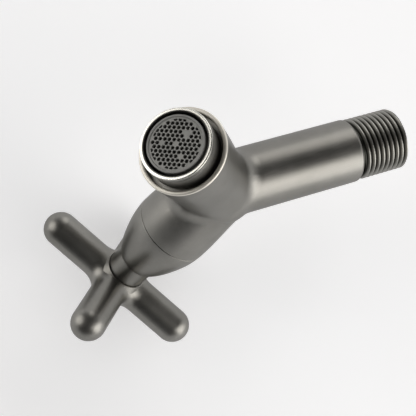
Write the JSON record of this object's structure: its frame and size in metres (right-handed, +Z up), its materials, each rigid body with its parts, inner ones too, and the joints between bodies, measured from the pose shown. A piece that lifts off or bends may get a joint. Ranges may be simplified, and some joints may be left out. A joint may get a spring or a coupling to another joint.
{
  "type": "wall-mounted tap",
  "caption": "Y-shaped wall-mounted bib tap with a cross handle, an egg-shaped bonnet, a short aerated spout and a male pipe-thread inlet.",
  "frame": {"origin": "centre of the end face of the inlet's male pipe thread", "axes": "+Y along the inlet into the wall, +Z up, -Y towards the user; the handle and spout branches lie in the YZ plane"},
  "size_m": [0.0528, 0.1194, 0.109],
  "materials": {
    "gunmetal": "satin gunmetal plating, fine brushed",
    "polished_trim": "semi-polished gunmetal plating",
    "internal_brass": "machined, unplated",
    "ceramic": "lapped",
    "seal_rubber": "matt",
    "stainless": "bright",
    "aerator_plastic": "moulded, matt",
    "slip_plastic": "moulded, smooth"
  },
  "bodies": {
    "tap": {"tap_body": "gunmetal", "bonnet_cover": "gunmetal", "neck_collar": "gunmetal", "headwork_body": "internal_brass", "headwork_washer": "stainless", "seat_seal": "seal_rubber", "fixed_disc": "ceramic", "aerator_housing": "polished_trim", "aerator_gasket": "seal_rubber", "aerator_cup": "aerator_plastic", "outlet_honeycomb": "aerator_plastic", "aerator_screens": "stainless", "jet_plate": "slip_plastic", "flow_regulator_ring": "seal_rubber", "inlet_strainer": "slip_plastic"},
    "handle_set": {"handle": "gunmetal", "handle_bush": "internal_brass", "handle_screw": "stainless", "handle_cap": "gunmetal", "spindle": "internal_brass", "spindle_sealing_rings": "seal_rubber", "thrust_washer": "slip_plastic", "spindle_circlip": "stainless", "turning_disc": "ceramic"}
  },
  "joints": [
    {"name": "handle_turn", "type": "hinge", "parent": "tap", "child": "handle_set", "pos_m": [0, -0.09565, 0.05084], "axis": [0, -0.5, 0.866], "range_deg": [0, 90]}
  ]
}
